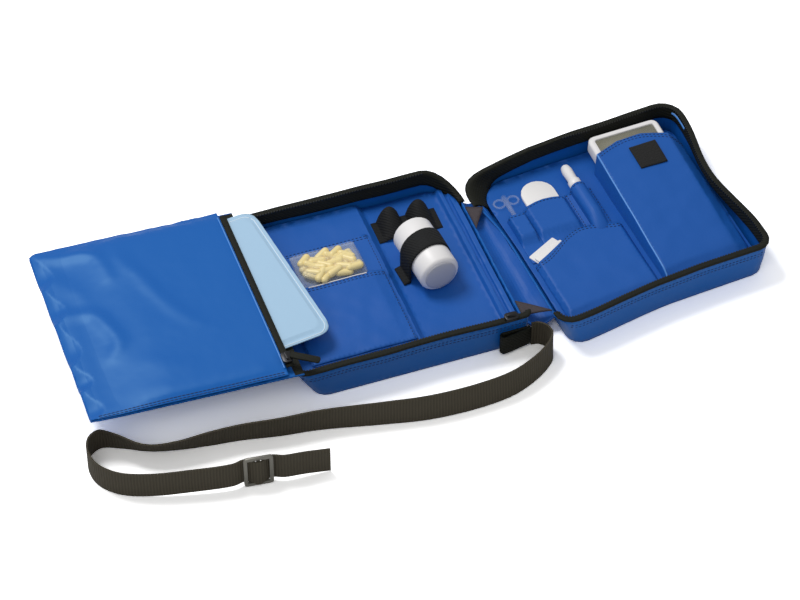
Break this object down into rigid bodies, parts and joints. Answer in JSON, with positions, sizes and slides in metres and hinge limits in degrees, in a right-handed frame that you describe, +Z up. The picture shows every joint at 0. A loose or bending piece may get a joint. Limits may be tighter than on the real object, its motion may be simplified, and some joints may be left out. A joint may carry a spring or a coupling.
{
  "type": "glucose meter case",
  "caption": "Open soft zip case for blood glucose supplies: blue nylon trays joined by a fold, with pockets, elastic loops, a fold-out gel pouch and a webbing shoulder strap.",
  "frame": {"origin": "middle of the base tray's flat underside, where the open case rests on the table", "axes": "+X to the right, from the base tray to the lid; +Y to the back; +Z up"},
  "size_m": [0.579, 0.263, 0.0503],
  "materials": {
    "blue_nylon": "smooth coated nylon, satin",
    "blue_lining": "padded lining, matt",
    "black_zip_tape": "ribbed zip tape with moulded teeth",
    "black_elastic": "woven elastic, matt",
    "dark_metal": "dark plated die casting",
    "white_plastic": "moulded, soft gloss",
    "white_card": "coated card, matt",
    "sachet_paper": "laminated paper, matt",
    "clear_film": "clear film, glossy",
    "capsule_shell": "pale yellow gelatin, satin",
    "gel_vinyl": "light blue vinyl, satin",
    "lcd_glass": "grey-green display, satin",
    "clear_window": "clear moulded window, glossy",
    "button_rubber": "moulded keypad rubber, matt",
    "olive_webbing": "ribbed webbing, matt",
    "black_plastic": "moulded nylon, matt",
    "hook_tape": "short stiff hooks, matt"
  },
  "bodies": {
    "base": {"base_shell": "blue_nylon", "base_zip_tape": "black_zip_tape", "base_panel": "blue_lining", "base_pocket_upper": "blue_nylon", "base_pocket_lower": "blue_nylon", "tablet_bag": "clear_film", "capsules": "capsule_shell", "bottle_elastic": "black_elastic", "spare_elastic_loops": "black_elastic", "spine_panel": "blue_nylon", "gusset_front": "black_elastic", "gusset_back": "black_elastic", "main_zip_slider": "dark_metal", "pouch_hinge_tape": "black_zip_tape", "strap_webbing": "olive_webbing", "strap_tab": "black_zip_tape", "strap_slide": "black_plastic"},
    "lid": {"lid_shell": "blue_nylon", "lid_zip_tape": "black_zip_tape", "lid_panel": "blue_lining", "lid_pocket_small": "blue_nylon", "lid_pocket_middle": "blue_nylon", "lid_pocket_pen": "blue_nylon", "lid_pocket_lower": "blue_nylon", "test_strip_card": "white_card", "pen_body": "white_plastic", "pen_cap": "white_plastic", "sachet_rear": "sachet_paper", "sachet_front": "sachet_paper", "clear_connector": "clear_film", "meter_case": "white_plastic", "meter_screen": "lcd_glass", "meter_window": "clear_window", "meter_pocket": "blue_nylon", "hook_patch": "hook_tape"},
    "bottle": {"bottle_body": "white_plastic"},
    "bottle_cap": {"bottle_cap": "white_plastic"},
    "button_left": {"meter_button_left": "button_rubber"},
    "button_right": {"meter_button_right": "button_rubber"},
    "pouch": {"pouch_back": "blue_nylon", "pouch_front": "blue_nylon", "pouch_zip_tape": "black_zip_tape"},
    "pouch_slider": {"pouch_zip_slider": "dark_metal"},
    "pouch_pull": {"pouch_zip_pull": "black_zip_tape"},
    "gel": {"gel_pack": "gel_vinyl"}
  },
  "joints": [
    {"name": "lid_fold", "type": "hinge", "parent": "base", "child": "lid", "pos_m": [0.1065, 0, 0.0354], "axis": [0.0131, -0.9999, 0], "range_deg": [0, 180], "deforming": ["spine_panel", "gusset_front", "gusset_back", "pouch_back", "pouch_front", "pouch_zip_tape", "pouch_zip_pull", "gel_pack"]},
    {"name": "pouch_fold", "type": "hinge", "parent": "base", "child": "pouch", "pos_m": [-0.0905, 0, 0.037], "axis": [0, 1, 0], "range_deg": [0, 174], "deforming": ["pouch_back", "pouch_front", "pouch_zip_tape", "pouch_zip_pull", "gel_pack"]},
    {"name": "pouch_zip_slide", "type": "slide", "parent": "pouch", "child": "pouch_slider", "axis": [0, 1, 0], "range_m": [0, 0.15]},
    {"name": "pouch_pull_swing", "type": "hinge", "parent": "pouch_slider", "child": "pouch_pull", "pos_m": [-0.09721, -0.0775, 0.0483], "axis": [-0.5646, -0.8253, 0], "range_deg": [0, 120]},
    {"name": "gel_pack_slide", "type": "slide", "parent": "pouch", "child": "gel", "axis": [-1, 0, 0], "range_m": [0, 0.04], "deforming": ["gel_pack"]},
    {"name": "bottle_slide", "type": "slide", "parent": "base", "child": "bottle", "axis": [0.1045, -0.9945, 0], "range_m": [0, 0.045]},
    {"name": "bottle_cap_turn", "type": "hinge", "parent": "bottle", "child": "bottle_cap", "pos_m": [0.0465, -0.024, 0.0318], "axis": [0.1045, -0.9945, 0], "continuous": true},
    {"name": "meter_button_left_press", "type": "slide", "parent": "lid", "child": "button_left", "axis": [-0.0046, 0.087, -0.9962], "range_m": [0, 0.0008], "stiffness_N_per_m": 400},
    {"name": "meter_button_right_press", "type": "slide", "parent": "lid", "child": "button_right", "axis": [-0.0046, 0.087, -0.9962], "range_m": [0, 0.0008], "stiffness_N_per_m": 400}
  ]
}
